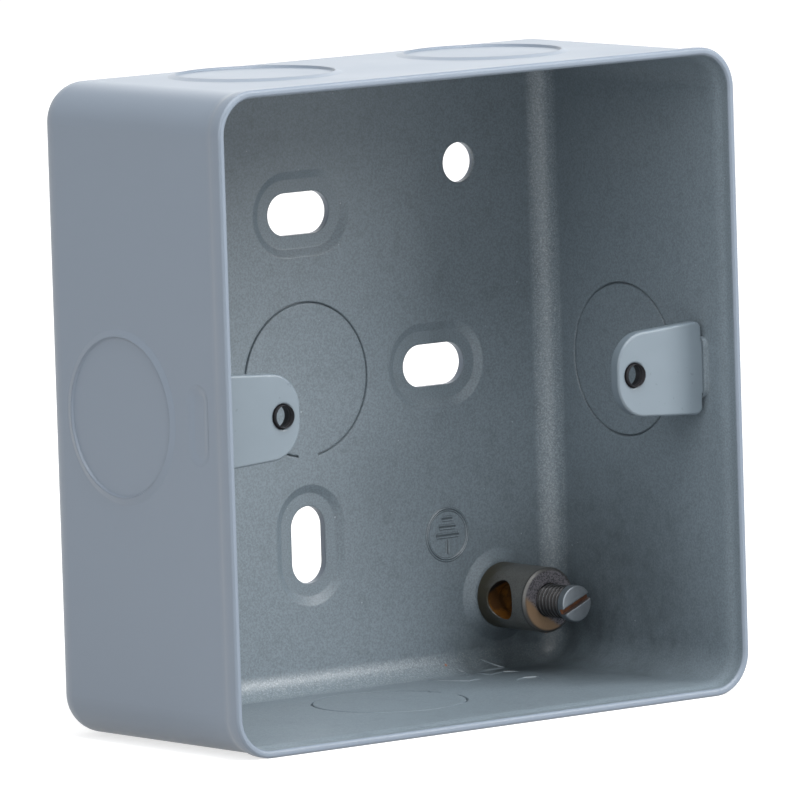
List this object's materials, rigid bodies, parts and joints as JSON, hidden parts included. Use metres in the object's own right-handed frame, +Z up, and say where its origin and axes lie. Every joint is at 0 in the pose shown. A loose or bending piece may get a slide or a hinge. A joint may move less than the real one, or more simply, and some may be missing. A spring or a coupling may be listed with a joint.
{
  "type": "surface back box",
  "caption": "One-gang surface back box in painted pressed steel, with knockouts, slotted wall pads, two faceplate lugs and an earth terminal.",
  "frame": {"origin": "centre of the plane in which the wall pads meet the wall", "axes": "+Z up, +Y into the wall, +X to the right as seen looking into the mouth, which faces -Y"},
  "size_m": [0.088, 0.041, 0.088],
  "materials": {
    "box_paint": "smooth grey paint over pressed steel, glossy outside and slightly speckled inside",
    "lug_paint": "lighter glossy grey paint, chipped at the edges",
    "terminal_brass": "dull plated brass, worn through to a warm tone in places",
    "screw_steel": "plated steel screw"
  },
  "bodies": {
    "box": {"box_shell": "box_paint", "lug_left": "lug_paint", "lug_right": "lug_paint", "earth_terminal_post": "terminal_brass"},
    "terminal_screw": {"earth_terminal_screw": "screw_steel"}
  },
  "joints": [
    {"name": "terminal_screw_travel", "type": "slide", "parent": "box", "child": "terminal_screw", "axis": [0, 1, 0], "range_m": [-0.002, 0.0045]}
  ]
}
